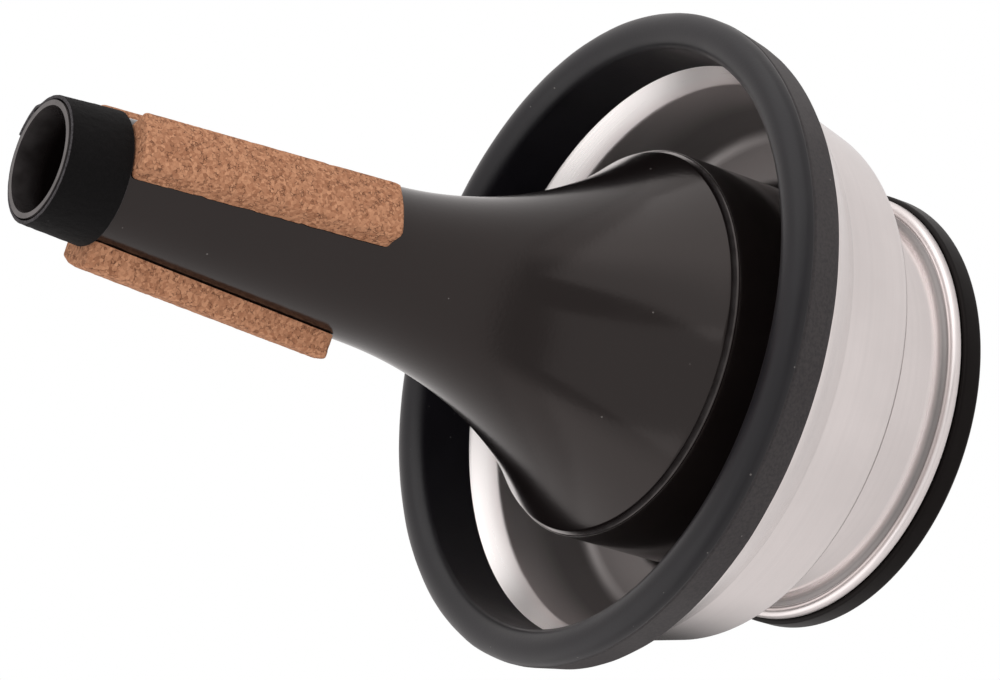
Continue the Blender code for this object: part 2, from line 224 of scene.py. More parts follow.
class Effects:
    """Shader node groups that several finishes share, each built once."""

    def __init__(self) -> None:
        """Builds the groups."""
        self.rings = self.make_rings()
        self.dust = self.make_dust()
        self.mottle = self.make_mottle()

    @staticmethod
    def open_group(name: str, inputs: Sequence[tuple[str, str, float]],
                   outputs: Sequence[str]) -> tuple[bpy.types.NodeTree, NodeSheet, bpy.types.Node, bpy.types.Node]:
        """Starts a group with its sockets.

        Args:
            name: the group's name.
            inputs: name, socket kind and default of each input.
            outputs: the names of the value outputs.

        Returns:
            The group, a sheet on it, its input node and its output node.
        """
        group = bpy.data.node_groups.new(name, "ShaderNodeTree")
        for label, kind, default in inputs:
            socket = group.interface.new_socket(name=label, in_out="INPUT", socket_type=kind)
            if kind == "NodeSocketFloat":
                socket.default_value = default
        for label in outputs:
            group.interface.new_socket(name=label, in_out="OUTPUT", socket_type="NodeSocketFloat")
        sheet = NodeSheet(group)
        return group, sheet, sheet.add("NodeGroupInput"), sheet.add("NodeGroupOutput")

    def make_rings(self) -> bpy.types.NodeTree:
        """Fine turned rings round the Z axis.

        Noise is read at (cos angle, sin angle) times Spread, and at radius plus height
        times Pitch, so it changes fast along the profile and slowly round the axis.

        Returns:
            The group, with the output Height from 0 to 1.
        """
        group, sheet, start, end = self.open_group(
            "Turned rings",
            [("Vector", "NodeSocketVector", 0.0), ("Pitch", "NodeSocketFloat", 4000.0),
             ("Spread", "NodeSocketFloat", 1.5)],
            ["Height"])
        parts = sheet.add("ShaderNodeSeparateXYZ")
        sheet.feed(parts.inputs[0], start.outputs["Vector"])
        squares = sheet.math("ADD", sheet.math("MULTIPLY", parts.outputs[0], parts.outputs[0]),
                             sheet.math("MULTIPLY", parts.outputs[1], parts.outputs[1]))
        radius = sheet.math("SQRT", squares)
        safe = sheet.math("MAXIMUM", radius, 1e-5)
        along = sheet.math("MULTIPLY", sheet.math("ADD", radius, parts.outputs[2]), start.outputs["Pitch"])
        place = sheet.add("ShaderNodeCombineXYZ")
        for index in range(2):
            turned = sheet.math("DIVIDE", parts.outputs[index], safe)
            sheet.feed(place.inputs[index], sheet.math("MULTIPLY", turned, start.outputs["Spread"]))
        sheet.feed(place.inputs[2], along)
        sheet.feed(end.inputs["Height"], sheet.noise(place.outputs[0], 1.0, 3.0, 0.65))
        return group

    def make_dust(self) -> bpy.types.NodeTree:
        """Scattered specks: round spots at a few of the cells of a Voronoi pattern.

        Returns:
            The group, with the output Mask from 0 to 1.
        """
        group, sheet, start, end = self.open_group(
            "Dust specks",
            [("Vector", "NodeSocketVector", 0.0), ("Scale", "NodeSocketFloat", 400.0),
             ("Amount", "NodeSocketFloat", 0.1), ("Size", "NodeSocketFloat", 0.25)],
            ["Mask"])
        cells = sheet.add("ShaderNodeTexVoronoi")
        sheet.feed(cells.inputs["Vector"], start.outputs["Vector"])
        sheet.feed(cells.inputs["Scale"], start.outputs["Scale"])
        parts = sheet.add("ShaderNodeSeparateColor")
        sheet.feed(parts.inputs[0], cells.outputs["Color"])
        chosen = sheet.math("LESS_THAN", parts.outputs[0], start.outputs["Amount"])
        size = sheet.math("MULTIPLY", parts.outputs[1], start.outputs["Size"])
        spot = sheet.math("LESS_THAN", cells.outputs["Distance"], size)
        sheet.feed(end.inputs["Mask"], sheet.math("MULTIPLY", chosen, spot))
        return group

    def make_mottle(self) -> bpy.types.NodeTree:
        """Soft cloudy variation at one scale, with finer layers in it.

        Returns:
            The group, with the output Mask from 0 to 1.
        """
        group, sheet, start, end = self.open_group(
            "Cloudy variation",
            [("Vector", "NodeSocketVector", 0.0), ("Scale", "NodeSocketFloat", 60.0)],
            ["Mask"])
        noise = sheet.add("ShaderNodeTexNoise")
        sheet.feed(noise.inputs["Vector"], start.outputs["Vector"])
        sheet.feed(noise.inputs["Scale"], start.outputs["Scale"])
        noise.inputs["Detail"].default_value = 4.0
        sheet.feed(end.inputs["Mask"], sheet.remap(noise.outputs[0], 0.3, 0.7, 0.0, 1.0))
        return group

    @staticmethod
    def place(sheet: NodeSheet, group: bpy.types.NodeTree, vector: Feed,
              **values: float) -> bpy.types.NodeSocket:
        """Places a group in a tree with its own values.

        Args:
            sheet: the tree it goes into.
            group: the group.
            vector: where the group reads its pattern.
            values: its number inputs by name.

        Returns:
            The group's first output.
        """
        node = sheet.add("ShaderNodeGroup")
        node.node_tree = group
        sheet.feed(node.inputs["Vector"], vector)
        for name, number in values.items():
            node.inputs[name].default_value = number
        return node.outputs[0]


@dataclass(frozen=True)
class Finish:
    """What every finish has: a name, a base colour and a roughness."""

    name: str
    colour: tuple[float, float, float]
    roughness: float

    def begin(self) -> tuple[bpy.types.Material, NodeSheet, bpy.types.Node, bpy.types.NodeSocket]:
        """Starts the material.

        Returns:
            The material, a sheet on its tree, its Principled BSDF and its Object coordinates.
        """
        made = bpy.data.materials.new(self.name)
        made.use_nodes = True
        made.diffuse_color = (*self.colour, 1.0)
        sheet = NodeSheet(made.node_tree)
        shader = made.node_tree.nodes["Principled BSDF"]
        shader.inputs["Base Color"].default_value = (*self.colour, 1.0)
        shader.inputs["Roughness"].default_value = self.roughness
        coordinates = sheet.add("ShaderNodeTexCoord")
        return made, sheet, shader, coordinates.outputs["Object"]

    @staticmethod
    def tint(colour: Sequence[float], factor: float) -> tuple[float, float, float, float]:
        """A colour made lighter or darker by a factor, with full alpha."""
        return (colour[0] * factor, colour[1] * factor, colour[2] * factor, 1.0)


@dataclass(frozen=True)
class MouldedPlastic(Finish):
    """Semi-gloss moulded plastic with handling marks, faint turning, dust, and pale edges: edge wear, and on the lip a
    painted highlight.
    """

    # Pale tint for edge wear, and on the body's lip for a painted highlight line.
    worn_and_painted_highlight: tuple[float, float, float] = (0.130, 0.120, 0.120)
    specks: float = 0.03
    gloss: float = 0.44
    glint: tuple[float, float, float] = (1.0, 0.90, 0.87)

    def build(self, effects: Effects) -> bpy.types.Material:
        """Builds the material.

        Args:
            effects: the shared groups.

        Returns:
            The material.
        """
        made, sheet, shader, place = self.begin()
        clouds = effects.place(sheet, effects.mottle, place, Scale=55.0)
        dust = effects.place(sheet, effects.dust, place, Scale=620.0, Amount=self.specks, Size=0.11)
        rings = effects.place(sheet, effects.rings, place, Pitch=1500.0, Spread=0.5)
        # The edge attribute paints edges pale: edge wear, and on the body's lip a painted highlight line.
        edges = sheet.add("ShaderNodeAttribute", attribute_name="edge")
        scuffs = sheet.noise(place, 300.0, 3.0, 0.5)
        worn_and_painted_highlight = sheet.math("MULTIPLY", edges.outputs["Fac"], sheet.remap(scuffs, 0.30, 0.70, 0.35, 0.90))
        colour = sheet.blend(clouds, self.tint(self.colour, 0.88), self.tint(self.colour, 1.12))
        colour = sheet.blend(sheet.math("MULTIPLY", worn_and_painted_highlight, 0.6), colour, (*self.worn_and_painted_highlight, 1.0))
        colour = sheet.blend(sheet.math("MULTIPLY", dust, 0.5), colour, (0.22, 0.21, 0.20, 1.0))
        sheet.feed(shader.inputs["Base Color"], colour)
        rough = sheet.math("ADD", sheet.remap(clouds, 0.0, 1.0, self.roughness - 0.03, self.roughness + 0.04),
                           sheet.math("MULTIPLY", dust, 0.4))
        sheet.feed(shader.inputs["Roughness"], rough)
        shader.inputs["Specular IOR Level"].default_value = self.gloss
        shader.inputs["Specular Tint"].default_value = (*self.glint, 1.0)
        grain = sheet.noise(place, 1400.0, 2.0, 0.5)
        normal = sheet.bump(grain, 0.000010)
        normal = sheet.bump(rings, 0.000003, 1.0, normal)
        sheet.feed(shader.inputs["Normal"], normal)
        return made


@dataclass(frozen=True)
class SpunAluminium(Finish):
    """Aluminium spun and brushed round the axis; its edge attribute makes it rougher and paints light on it, a painted
    highlight and painted shade.
    """

    stretch: float = 0.5
    # Tints of the painted highlight and the painted shade, then the roughness that the edge attribute adds.
    painted_highlight_colour: float = 1.34
    painted_shade_colour: float = 0.42
    dull_roughness: float = 0.33

    def build(self, effects: Effects) -> bpy.types.Material:
        """Builds the material.

        Args:
            effects: the shared groups.

        Returns:
            The material.
        """
        made, sheet, shader, place = self.begin()
        shader.inputs["Metallic"].default_value = 1.0
        shader.inputs["Anisotropic"].default_value = self.stretch
        shader.inputs["Anisotropic Rotation"].default_value = 0.25
        tangent = sheet.add("ShaderNodeTangent", direction_type="RADIAL", axis="Z")
        sheet.feed(shader.inputs["Tangent"], tangent.outputs[0])
        fine = effects.place(sheet, effects.rings, place, Pitch=7000.0, Spread=0.25)
        broad = effects.place(sheet, effects.rings, place, Pitch=700.0, Spread=0.12)
        clouds = effects.place(sheet, effects.mottle, place, Scale=40.0)
        colour = sheet.blend(sheet.remap(broad, 0.3, 0.7, 0.0, 1.0), self.tint(self.colour, 0.98),
                             self.tint(self.colour, 1.02))
        colour = sheet.blend(sheet.remap(clouds, 0.25, 0.75, 0.30, 0.0), colour, self.tint(self.colour, 0.80))
        colour = sheet.blend(sheet.remap(fine, 0.25, 0.45, 0.06, 0.0), colour, self.tint(self.colour, 0.85))
        # The edge attribute makes the metal rougher and paints light on it: from 0 to one half it is painted lighter,
        # a painted highlight; from one half to 1 darker, painted shade.
        dull_and_painted_light = sheet.add("ShaderNodeAttribute", attribute_name="edge").outputs["Fac"]
        painted_highlight = sheet.remap(dull_and_painted_light, 0.0, 0.5, 0.0, 1.0)
        colour = sheet.blend(painted_highlight, colour, self.tint(self.colour, self.painted_highlight_colour))
        dark = sheet.remap(dull_and_painted_light, 0.5, 1.0, 0.0, 1.0)
        colour = sheet.blend(dark, colour, self.tint(self.colour, self.painted_shade_colour))
        sheet.feed(shader.inputs["Base Color"], colour)
        rough = sheet.math("ADD", sheet.remap(fine, 0.3, 0.7, self.roughness - 0.02, self.roughness + 0.03),
                           sheet.remap(clouds, 0.0, 1.0, 0.0, 0.04))
        rough = sheet.math("MULTIPLY_ADD", dull_and_painted_light, self.dull_roughness, rough)
        sheet.feed(shader.inputs["Roughness"], rough)
        normal = sheet.bump(fine, 0.0000003)
        normal = sheet.bump(broad, 0.0000022, 1.0, normal)
        sheet.feed(shader.inputs["Normal"], normal)
        return made


@dataclass(frozen=True)
class EdgingRubber(Finish):
    """Satin rubber with a pale bloom, fine grain and dust."""

    bloom: tuple[float, float, float] = (0.034, 0.029, 0.030)

    def build(self, effects: Effects) -> bpy.types.Material:
        """Builds the material.

        Args:
            effects: the shared groups.

        Returns:
            The material.
        """
        made, sheet, shader, place = self.begin()
        clouds = effects.place(sheet, effects.mottle, place, Scale=90.0)
        dust = effects.place(sheet, effects.dust, place, Scale=700.0, Amount=0.05, Size=0.13)
        band = sheet.add("ShaderNodeAttribute", attribute_name="edge")
        grain = sheet.noise(place, 1800.0, 3.0, 0.6)
        colour = sheet.blend(clouds, self.tint(self.colour, 0.85), self.tint(self.colour, 1.2))
        pale = sheet.math("MULTIPLY", band.outputs["Fac"], sheet.remap(grain, 0.35, 0.6, 0.45, 1.0))
        colour = sheet.blend(pale, colour, (*self.bloom, 1.0))
        colour = sheet.blend(sheet.math("MULTIPLY", dust, 0.5), colour, (0.25, 0.24, 0.23, 1.0))
        sheet.feed(shader.inputs["Base Color"], colour)
        rough = sheet.math("ADD", sheet.remap(clouds, 0.0, 1.0, self.roughness - 0.05, self.roughness + 0.05),
                           sheet.math("MULTIPLY", band.outputs["Fac"], 0.2))
        sheet.feed(shader.inputs["Roughness"], rough)
        shader.inputs["Specular IOR Level"].default_value = 0.38
        sheet.feed(shader.inputs["Normal"], sheet.bump(grain, 0.00002))
        return made


@dataclass(frozen=True)
class GranulatedCork(Finish):
    """Pressed cork granules of several browns with dark pits between them."""

    light: tuple[float, float, float] = (0.66, 0.335, 0.190)
    dark: tuple[float, float, float] = (0.26, 0.108, 0.054)
    pit: tuple[float, float, float] = (0.100, 0.038, 0.020)
    granules: float = 1900.0

    def build(self, effects: Effects) -> bpy.types.Material:
        """Builds the material.

        Args:
            effects: the shared groups; not used here.

        Returns:
            The material.
        """
        made, sheet, shader, place = self.begin()
        warp = sheet.add("ShaderNodeTexNoise")
        sheet.feed(warp.inputs["Vector"], place)
        warp.inputs["Scale"].default_value = 2200.0
        shift = sheet.add("ShaderNodeVectorMath", operation="SCALE")
        sheet.feed(shift.inputs[0], warp.outputs["Color"])
        shift.inputs["Scale"].default_value = 0.0003
        moved = sheet.add("ShaderNodeVectorMath", operation="ADD")
        sheet.feed(moved.inputs[0], place)
        sheet.feed(moved.inputs[1], shift.outputs[0])
        cells = sheet.add("ShaderNodeTexVoronoi")
        sheet.feed(cells.inputs["Vector"], moved.outputs[0])
        cells.inputs["Scale"].default_value = self.granules
        joints = sheet.add("ShaderNodeTexVoronoi", feature="DISTANCE_TO_EDGE")
        sheet.feed(joints.inputs["Vector"], moved.outputs[0])
        joints.inputs["Scale"].default_value = self.granules
        parts = sheet.add("ShaderNodeSeparateColor")
        sheet.feed(parts.inputs[0], cells.outputs["Color"])
        shade = sheet.remap(parts.outputs[0], 0.0, 1.0, 0.0, 1.0)
        colour = sheet.blend(shade, (*self.colour, 1.0), (*self.light, 1.0))
        colour = sheet.blend(sheet.remap(parts.outputs[1], 0.74, 0.95, 0.0, 0.6), colour, (*self.dark, 1.0))
        fine = sheet.noise(place, 3600.0, 3.0, 0.7)
        colour = sheet.blend(sheet.remap(fine, 0.30, 0.44, 0.40, 0.0), colour, (*self.dark, 1.0))
        gaps = sheet.remap(joints.outputs["Distance"], 0.0, 0.09, 1.0, 0.0)
        some = sheet.remap(sheet.noise(place, 1100.0, 2.0, 0.5), 0.50, 0.62, 0.0, 1.0)
        pits = sheet.math("MULTIPLY", gaps, some)
        colour = sheet.blend(pits, colour, (*self.pit, 1.0))
        sheet.feed(shader.inputs["Base Color"], colour)
        height = sheet.math("SUBTRACT", fine, pits)
        sheet.feed(shader.inputs["Normal"], sheet.bump(height, 0.00007))
        shader.inputs["Specular IOR Level"].default_value = 0.25
        return made


@dataclass(frozen=True)
class PressedFelt(Finish):
    """Short-fibred felt, paler and frayed where it is cut."""

    cut: tuple[float, float, float] = (0.085, 0.080, 0.085)

    def build(self, effects: Effects) -> bpy.types.Material:
        """Builds the material.

        Args:
            effects: the shared groups.

        Returns:
            The material.
        """
        made, sheet, shader, place = self.begin()
        fibres = sheet.noise(place, 2600.0, 4.0, 0.7)
        clumps = effects.place(sheet, effects.mottle, place, Scale=320.0)
        lint = effects.place(sheet, effects.dust, place, Scale=900.0, Amount=0.03, Size=0.14)
        colour = sheet.blend(sheet.remap(fibres, 0.35, 0.7, 0.0, 1.0), self.tint(self.colour, 0.6),
                             self.tint(self.colour, 2.0))
        colour = sheet.blend(sheet.math("MULTIPLY", clumps, 0.3), colour, self.tint(self.colour, 1.6))
        edges = sheet.add("ShaderNodeAttribute", attribute_name="edge")
        frayed = sheet.math("MULTIPLY", edges.outputs["Fac"], sheet.remap(fibres, 0.35, 0.6, 0.3, 1.0))
        colour = sheet.blend(frayed, colour, (*self.cut, 1.0))
        colour = sheet.blend(sheet.math("MULTIPLY", lint, 0.4), colour, (0.20, 0.20, 0.20, 1.0))
        sheet.feed(shader.inputs["Base Color"], colour)
        sheet.feed(shader.inputs["Normal"], sheet.bump(fibres, 0.00010))
        shader.inputs["Sheen Weight"].default_value = 0.03
        shader.inputs["Sheen Roughness"].default_value = 0.5
        shader.inputs["Specular IOR Level"].default_value = 0.2
        return made


# Surfaces


def straight(first: Sequence[float], last: Sequence[float], count: int = 2) -> Profile:
    """Points on a straight run: first plus t times (last minus first), t from 0 to 1."""
    share = np.linspace(0.0, 1.0, count)[:, None]
    return np.asarray(first) * (1.0 - share) + np.asarray(last) * share


def arc(centre: Sequence[float], radius: float, start: float, end: float, count: int = 12) -> Profile:
    """Points on an arc: centre plus radius times (cos, sin) of the angle, in degrees."""
    angle = np.radians(np.linspace(start, end, count))
    return np.stack([centre[0] + radius * np.cos(angle), centre[1] + radius * np.sin(angle)], axis=1)


def fillet(before: Sequence[float], corner: Sequence[float], after: Sequence[float], radius: float,
           count: int = 9) -> Profile:
    """Rounds a corner between two straight runs.

    The arc touches both runs at radius / tan(half the corner's angle) from the corner,
    and its centre lies on the bisector at radius / sin(half the angle).

    Args:
        before: a point on the run into the corner.
        corner: the corner.
        after: a point on the run out of it.
        radius: the arc's radius.
        count: how many points it gets.

    Returns:
        The arc's points in order.
    """
    corner_point = np.asarray(corner, float)
    into = np.asarray(before, float) - corner_point
    out = np.asarray(after, float) - corner_point
    reach_in = float(np.linalg.norm(into))
    reach_out = float(np.linalg.norm(out))
    into /= reach_in
    out /= reach_out
    half = 0.5 * math.acos(float(np.clip(into @ out, -1.0, 1.0)))
    reach = min(radius / math.tan(half), 0.45 * reach_in, 0.45 * reach_out)
    radius = reach * math.tan(half)
    bisector = (into + out) / np.linalg.norm(into + out)
    centre = corner_point + bisector * radius / math.sin(half)
    start = corner_point + into * reach - centre
    end = corner_point + out * reach - centre
    turn = math.atan2(start[0] * end[1] - start[1] * end[0], float(start @ end))
    angle = math.atan2(start[1], start[0]) + np.linspace(0.0, turn, count)
    return centre + radius * np.stack([np.cos(angle), np.sin(angle)], axis=1)


def rounded(corners: Sequence[Sequence[float]], radii: Sequence[float]) -> Profile:
    """Joins the corners of a closed profile, each rounded by its own radius.

    Args:
        corners: the corners as (radius, height).
        radii: the rounding of each corner, 0 for a sharp one.

    Returns:
        The profile's points.
    """
    runs = []
    for index, (corner, radius) in enumerate(zip(corners, radii)):
        if radius > 0.0:
            runs.append(fillet(corners[index - 1], corner, corners[(index + 1) % len(corners)], radius))
        else:
            runs.append(np.asarray([corner], float))
    return np.concatenate(runs)


def refined(profile: Profile, pitch: float, closed: bool) -> Profile:
    """Adds points on long straight runs so that none is longer than the pitch.

    Args:
        profile: the profile's points.
        pitch: the longest run that stays.
        closed: whether the last point joins the first.

    Returns:
        The refined profile.
    """
    following = np.roll(profile, -1, axis=0) if closed else profile[1:]
    starts = profile if closed else profile[:-1]
    runs = []
    for first, last in zip(starts, following):
        pieces = max(1, int(math.ceil(np.linalg.norm(last - first) / pitch)))
        runs.append(first + (last - first) * np.linspace(0.0, 1.0, pieces, endpoint=False)[:, None])
    if not closed:
        runs.append(profile[-1:])
    return np.concatenate(runs)


def lattice_noise(points: np.ndarray, cell: float, seed: int) -> np.ndarray:
    """Smooth value noise from -1 to 1 at points in space.

    Each lattice corner has one random value, and a point takes the trilinear mean of the
    eight round it, with the shares eased by 3t^2 - 2t^3.

    Args:
        points: an array whose last axis is x, y, z.
        cell: the lattice's pitch in metres.
        seed: which pattern it is.

    Returns:
        One value per point.
    """
    table = np.random.default_rng(seed).uniform(-1.0, 1.0, (32, 32, 32))
    scaled = points / cell
    low = np.floor(scaled).astype(int)
    share = scaled - low
    share = share * share * (3.0 - 2.0 * share)
    total = np.zeros(points.shape[:-1])
    for corner in range(8):
        step = np.array([corner & 1, corner >> 1 & 1, corner >> 2 & 1])
        index = (low + step) % 32
        weight = np.prod(np.where(step == 1, share, 1.0 - share), axis=-1)
        total += weight * table[index[..., 0], index[..., 1], index[..., 2]]
    return total


def sheet_piece(name: str, points: np.ndarray, wrap_rows: bool, wrap_columns: bool,
                edge: Optional[np.ndarray] = None, sharp: float = 32.0, close_ends: bool = False,
                poles: bool = False) -> bpy.types.Object:
    """Makes a piece from a grid of points.

    Args:
        name: the piece's name.
        points: the grid, rows by columns by x, y, z.
        wrap_rows: whether the last row joins the first.
        wrap_columns: whether the last column joins the first.
        edge: one value per point for the attribute that finishes read, or nothing.
        sharp: the angle in degrees over which an edge stays sharp.
        close_ends: whether the first and last rows are filled by one face each.
        poles: whether the first and last columns meet in a point each on the axis.

    Returns:
        The piece.
    """
    rows, columns = points.shape[:2]
    row = np.arange(rows if wrap_rows else rows - 1)
    column = np.arange(columns if wrap_columns else columns - 1)
    grid_row, grid_column = np.meshgrid(row, column, indexing="ij")
    next_row = (grid_row + 1) % rows
    next_column = (grid_column + 1) % columns
    corner = [grid_row * columns + grid_column, grid_row * columns + next_column,
              next_row * columns + next_column, next_row * columns + grid_column]
    faces = np.stack(corner, axis=-1).reshape(-1, 4).tolist()
    vertices = points.reshape(-1, 3)
    values = None if edge is None else edge.reshape(-1)
    if close_ends:
        faces.append(list(range(columns))[::-1])
        faces.append(list(range((rows - 1) * columns, rows * columns)))
    if poles:
        first = points[:, 0].mean(axis=0)
        last = points[:, -1].mean(axis=0)
        count = len(vertices)
        vertices = np.concatenate([vertices, [first, last]])
        around = np.arange(rows)
        beside = (around + 1) % rows
        faces += np.stack([np.full(rows, count), around * columns, beside * columns], axis=-1).tolist()
        end = columns - 1
        faces += np.stack([np.full(rows, count + 1), beside * columns + end, around * columns + end],
                          axis=-1).tolist()
        values = None if values is None else np.concatenate([values, [0.0, 0.0]])
    mesh = bpy.data.meshes.new(name)
    mesh.from_pydata(vertices.tolist(), [], faces)
    if values is not None:
        attribute = mesh.attributes.new("edge", "FLOAT", "POINT")
        attribute.data.foreach_set("value", values.astype(np.float32))
    mesh.update()
    mesh.shade_smooth()
    mesh.set_sharp_from_angle(angle=math.radians(sharp))
    piece = bpy.data.objects.new(name, mesh)
    bpy.context.scene.collection.objects.link(piece)
    return piece


def turned_piece(name: str, profile: Profile, steps: int = 240, closed: bool = True,
                 edge: Optional[np.ndarray] = None,
                 shape: Optional[Callable[[np.ndarray], np.ndarray]] = None,
                 sharp: float = 32.0) -> bpy.types.Object:
    """Revolves a profile about the axis: (r cos a, r sin a, z) for each angle a.

    Args:
        name: the piece's name.
        profile: its (radius, height) points, outer side downwards and inner side upwards.
        steps: how many angles there are.
        closed: whether the profile is a closed loop; an open one ends in poles on the axis.
        edge: one value per profile point for the attribute that finishes read.
        shape: a function that moves the grid's points, or nothing.
        sharp: the angle in degrees over which an edge stays sharp.

    Returns:
        The piece.
    """
    angle = np.linspace(0.0, 2.0 * np.pi, steps, endpoint=False)
    radius = profile[None, :, 0]
    points = np.stack([radius * np.cos(angle)[:, None], radius * np.sin(angle)[:, None],
                       np.broadcast_to(profile[None, :, 1], (steps, len(profile)))], axis=-1)
    if shape is not None:
        points = shape(points)
    values = None if edge is None else np.broadcast_to(edge[None, :], points.shape[:2])
    return sheet_piece(name, points[:, ::-1], True, closed, None if values is None else values[:, ::-1],
                       sharp, poles=not closed)


def near_height(profile: Profile, low: float, high: float, fade: float) -> np.ndarray:
    """1 between two heights, falling to 0 over a fade on either side."""
    height = profile[:, 1]
    below = np.clip((height - low) / fade + 1.0, 0.0, 1.0)
    above = np.clip((high - height) / fade + 1.0, 0.0, 1.0)
    return below * above


def dress(piece: bpy.types.Object, material: bpy.types.Material, body: Carrier,
          replaced: Sequence[str]) -> bpy.types.Object:
    """Gives a piece its material and body, and hides the CAD nodes that it replaces.

    Args:
        piece: the piece.
        material: its material.
        body: the body it rides on.
        replaced: the CAD nodes that it replaces.

    Returns:
        The piece.
    """
    piece.data.materials.append(material)
    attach(piece, body.value)
    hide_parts(*replaced)
    LOG.info("%s: %d faces, on %s, for %s", piece.name, len(piece.data.polygons), body.value, ", ".join(replaced))
    return piece


# The mute


@dataclass
class MuteBody:
    """The moulded body and the cap that closes its base. Sizes in metres."""

    length: float = 0.1642
    tip_radius: float = 0.0098
    cone_length: float = 0.0635
    cone_spread: float = 0.0042
    flare_arc: float = 0.0850
    flare_angle: float = 40.0
    barrel_radius: float = 0.0351
    barrel_foot: float = 0.00425
    swell: float = 0.0004
    swell_start: float = 0.0620
    swell_length: float = 0.0100
    lip_height: float = 0.0503
    lip_radius: float = 0.03485
    lip_band: float = 0.0012
    lip_lean: float = 24.0
    lip_round: float = 0.0005
    wall: float = 0.0012
    tip_wall: float = 0.0009
    flange_radius: float = 0.0406
    flange_thickness: float = 0.0040
    flange_round: float = 0.0007
    spigot_height: float = 0.0080
    spigot_wall: float = 0.0020
    floor_height: float = 0.0025
    seat_gap: float = 0.00025

    @property
    def cone_end(self) -> float:
        """Height where the straight cone ends and the sweep starts."""
        return self.length - self.cone_length

    @property
    def cone_angle(self) -> float:
        """Angle of the straight cone from the axis, in radians."""
        return math.atan2(self.cone_spread, self.cone_length)

    @property
    def flare_end(self) -> float:
        """Height where the sweep runs out into the straight flare."""
        return self.cone_end - self.flare_arc * (math.sin(self.lean) - math.sin(self.cone_angle))

    @property
    def lean(self) -> float:
        """Angle of the straight flare from the axis, in radians."""
        return math.radians(self.flare_angle)

    @property
    def lip_start(self) -> tuple[float, float]:
        """Where the flare bends into the steeper band above the lip, as (radius, height)."""
        lean = math.radians(self.lip_lean)
        return (self.lip_radius - self.lip_band * math.sin(lean), self.lip_height + self.lip_band * math.cos(lean))

    def radius(self, height: Union[float, np.ndarray]) -> np.ndarray:
        """Outside radius at a height: straight cone, sweep of one arc, then straight flare.

        Over the last of the flare a swell grows with the square of the way down.

        Args:
            height: one or more heights in metres.

        Returns:
            The radius at each.
        """
        z = np.asarray(height, float)
        straight_part = self.tip_radius + (self.length - z) * self.cone_spread / self.cone_length
        low = np.clip(z, self.flare_end, self.cone_end)
        sine = math.sin(self.cone_angle) + (self.cone_end - low) / self.flare_arc
        swept = self.tip_radius + self.cone_spread + self.flare_arc * (
            math.cos(self.cone_angle) - np.sqrt(1.0 - sine * sine))
        swept = swept + (low - np.minimum(z, low)) * math.tan(self.lean)
        swept = swept + self.swell * np.clip((self.swell_start - z) / self.swell_length, 0.0, 1.1) ** 2
        return np.where(z >= self.cone_end, straight_part, swept)

    def shell_profile(self) -> Profile:
        """The shell's closed section: outside from the tip down, inside back up."""
        band = self.lip_start
        heights = np.linspace(self.length, band[1] + 0.5 * MM, 170)
        flare_line = np.stack([self.radius(heights), heights], axis=1)
        lip = (self.lip_radius, self.lip_height)
        below = (self.barrel_radius, self.lip_height - 0.3 * MM)
        outside = np.concatenate([
            flare_line[:-1],
            fillet(tuple(flare_line[-1]), band, lip, 0.0016),
            fillet(band, lip, below, 0.00022, 7),
        ])
        barrel = np.concatenate([
            fillet(lip, below, (self.barrel_radius, self.barrel_foot), self.lip_round, 5),
            straight((self.barrel_radius, below[1] - 0.6 * MM), (self.barrel_radius, self.barrel_foot), 24),
        ])
        inner = self.barrel_radius - self.wall
        flare = (float(self.radius(self.flare_end)) - self.wall * math.cos(self.lean),
                 self.flare_end - self.wall * math.sin(self.lean))
        corner = flare[1] - (inner - flare[0]) / math.tan(self.lean)
        foot = straight((inner, self.barrel_foot), (inner, corner), 6)
        back = np.linspace(self.flare_end, self.cone_end, 40)
        lean = np.arctan2(self.radius(back - 1e-5) - self.radius(back + 1e-5), 2e-5)
        sweep = np.stack([self.radius(back) - self.wall * np.cos(lean), back - self.wall * np.sin(lean)], axis=1)
        tip = straight(sweep[-1], (self.tip_radius - self.tip_wall, self.length), 12)[1:]
        return np.concatenate([outside, barrel, foot, sweep, tip])

    def shell(self, finish: bpy.types.Material) -> bpy.types.Object:
        """Builds the shell with pale edges: edge wear at the tip, edge wear and a painted highlight line at the lip.
        """
        profile = self.shell_profile()
        # The lip's thin ring is painted pale, partly edge wear and partly a painted highlight line; the tip's is edge
        # wear.
        edge = np.maximum(near_height(profile, self.lip_height - 0.12 * MM, self.lip_height + 0.12 * MM, 0.1 * MM),
                          near_height(profile, self.length - 0.2 * MM, self.length, 0.4 * MM))
        piece = turned_piece("body", profile, 288, edge=edge)
        return dress(piece, finish, Carrier.BODY, ["body_shell"])

    def cap(self, finish: bpy.types.Material) -> bpy.types.Object:
        """Builds the cap: its flange, and a hollow spigot up inside the barrel."""
        spigot = self.barrel_radius - self.wall - self.seat_gap
        top = self.flange_thickness + self.spigot_height
        corners = [
            (0.0008, self.floor_height), (spigot - self.spigot_wall, self.floor_height),
            (spigot - self.spigot_wall, top), (spigot, top), (spigot, self.flange_thickness),
            (self.flange_radius, self.flange_thickness), (self.flange_radius, 0.0), (0.0008, 0.0),
        ]
        profile = rounded(corners, [0.0, 0.001, 0.0, 0.0005, 0.0, self.flange_round, self.flange_round, 0.0])
        profile = refined(profile, 0.004, False)
        edge = near_height(profile, -1.0 * MM, 0.3 * MM, 0.3 * MM) * (profile[:, 0] > self.flange_radius - 1.2 * MM)
        piece = turned_piece("base", profile, 240, closed=False, edge=edge)
        return dress(piece, finish, Carrier.BODY, ["base_cap"])


